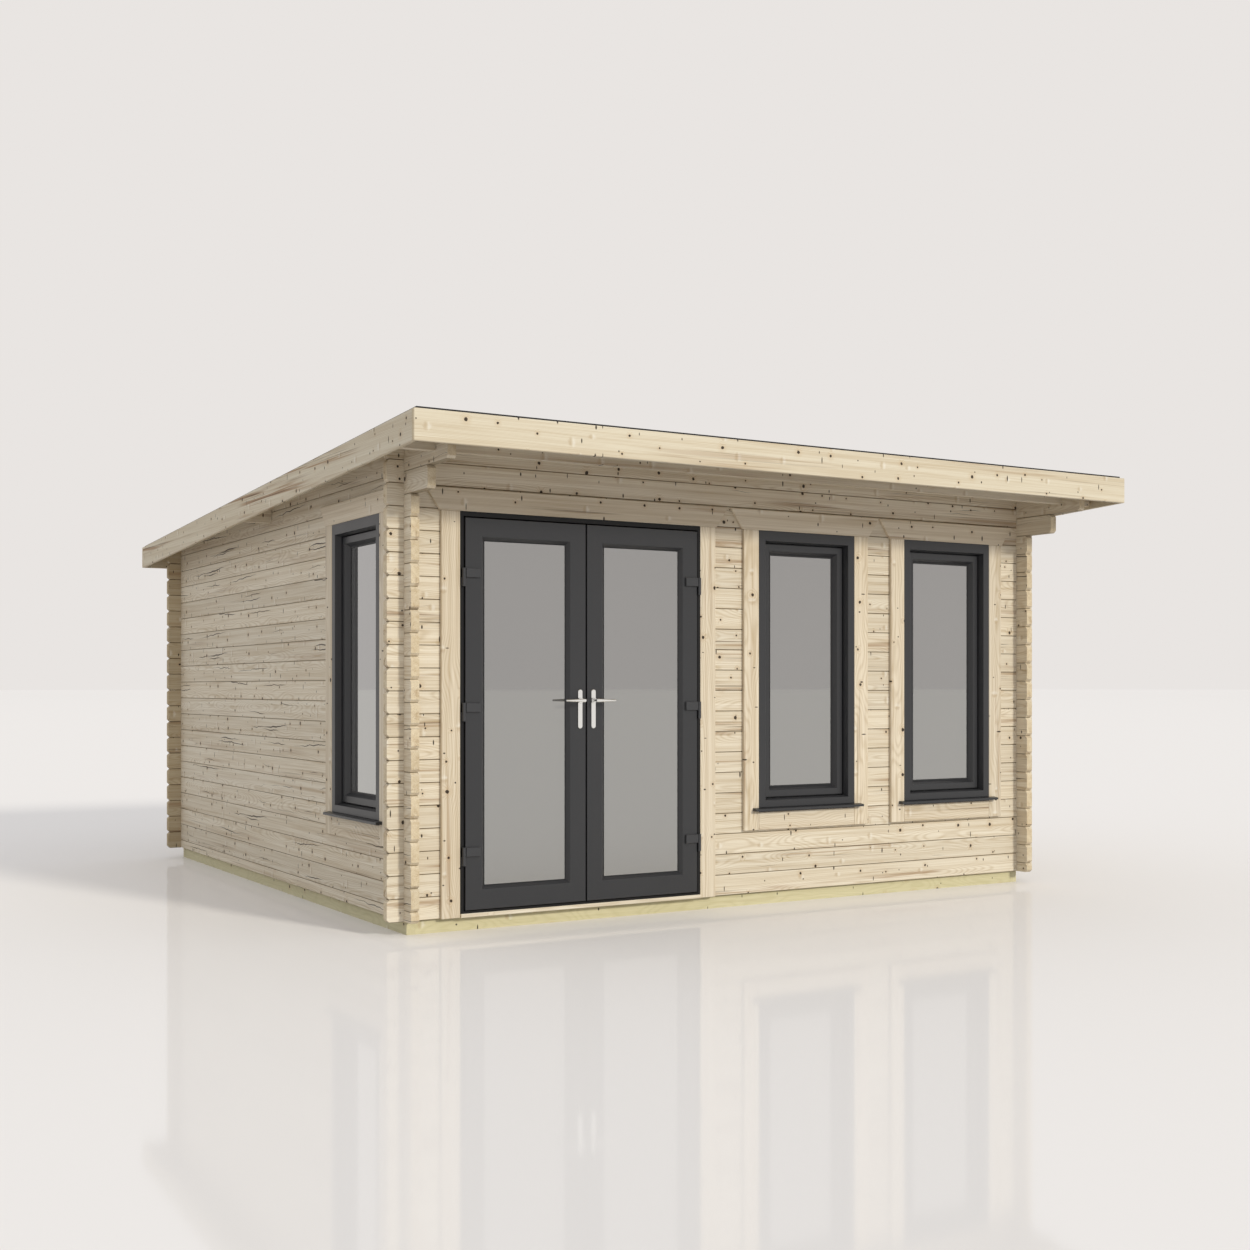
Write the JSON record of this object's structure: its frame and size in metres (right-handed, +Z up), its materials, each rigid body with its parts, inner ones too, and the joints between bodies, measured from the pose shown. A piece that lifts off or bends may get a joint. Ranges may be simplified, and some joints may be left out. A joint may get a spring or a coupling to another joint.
{
  "type": "garden office pod",
  "caption": "Single-room garden office of interlocking logs under a low single-pitch roof, with outward-opening double glazed doors and fixed tall windows.",
  "frame": {"origin": "on the ground, under the centre of the roof's outline", "axes": "+Z up, the front with the doors faces -Y, +X to the right as seen from the front"},
  "size_m": [4.624, 5.026, 2.502],
  "materials": {
    "log_timber": "planed knotty spruce, unpainted",
    "treated_timber": "pressure treated, greenish yellow",
    "floor_timber": "planed tongue and groove boards",
    "roof_timber": "planed tongue and groove boards",
    "trim_timber": "planed spruce boards",
    "roof_felt": "black roofing sheet",
    "frame_plastic": "anthracite grey foil, satin",
    "glass": "clear double glazing",
    "handle_chrome": "polished",
    "hinge_metal": "anthracite powder coat"
  },
  "bodies": {
    "cabin": {"base_bearers": "treated_timber", "floor_boards": "floor_timber", "front_wall_left_logs": "log_timber", "front_wall_low_logs": "log_timber", "front_wall_door_pier": "log_timber", "front_wall_window_pier": "log_timber", "front_wall_right_pier": "log_timber", "front_wall_top_logs": "log_timber", "back_wall_logs": "log_timber", "right_wall_logs": "log_timber", "left_wall_low_logs": "log_timber", "left_wall_top_logs": "log_timber", "left_wall_front_pier": "log_timber", "left_wall_rear_pier": "log_timber", "purlins": "log_timber", "roof_deck": "roof_timber", "roof_membrane": "roof_felt", "front_fascia": "trim_timber", "back_fascia": "trim_timber", "side_fascias": "trim_timber", "door_frame": "frame_plastic", "door_threshold": "trim_timber", "door_trim": "trim_timber", "first_window_frame": "frame_plastic", "first_window_sash": "frame_plastic", "first_window_trim": "trim_timber", "second_window_frame": "frame_plastic", "second_window_sash": "frame_plastic", "second_window_trim": "trim_timber", "side_window_frame": "frame_plastic", "side_window_sash": "frame_plastic", "side_window_trim": "trim_timber", "window_glass": "glass", "window_cills": "frame_plastic", "frame_hinges": "hinge_metal"},
    "left_door": {"left_door_sash": "frame_plastic", "left_door_glass": "glass", "left_door_hinges": "hinge_metal", "left_door_plates": "handle_chrome"},
    "left_lever": {"left_door_lever": "handle_chrome"},
    "right_door": {"right_door_sash": "frame_plastic", "right_door_glass": "glass", "right_door_hinges": "hinge_metal", "right_door_plates": "handle_chrome"},
    "right_lever": {"right_door_lever": "handle_chrome"}
  },
  "joints": [
    {"name": "left_door_swing", "type": "hinge", "parent": "cabin", "child": "left_door", "pos_m": [-1.785, -1.911, 1], "axis": [0, 0, -1], "range_deg": [0, 100]},
    {"name": "right_door_swing", "type": "hinge", "parent": "cabin", "child": "right_door", "pos_m": [-0.369, -1.911, 1], "axis": [0, 0, 1], "range_deg": [0, 100]},
    {"name": "left_lever_turn", "type": "hinge", "parent": "left_door", "child": "left_lever", "pos_m": [-1.117, -1.875, 1.16], "axis": [0, -1, 0], "range_deg": [0, 40], "stiffness_Nm_per_rad": 2, "springref_deg": -20.05},
    {"name": "right_lever_turn", "type": "hinge", "parent": "right_door", "child": "right_lever", "pos_m": [-1.037, -1.875, 1.16], "axis": [0, 1, 0], "range_deg": [0, 40], "stiffness_Nm_per_rad": 2, "springref_deg": -20.05}
  ]
}
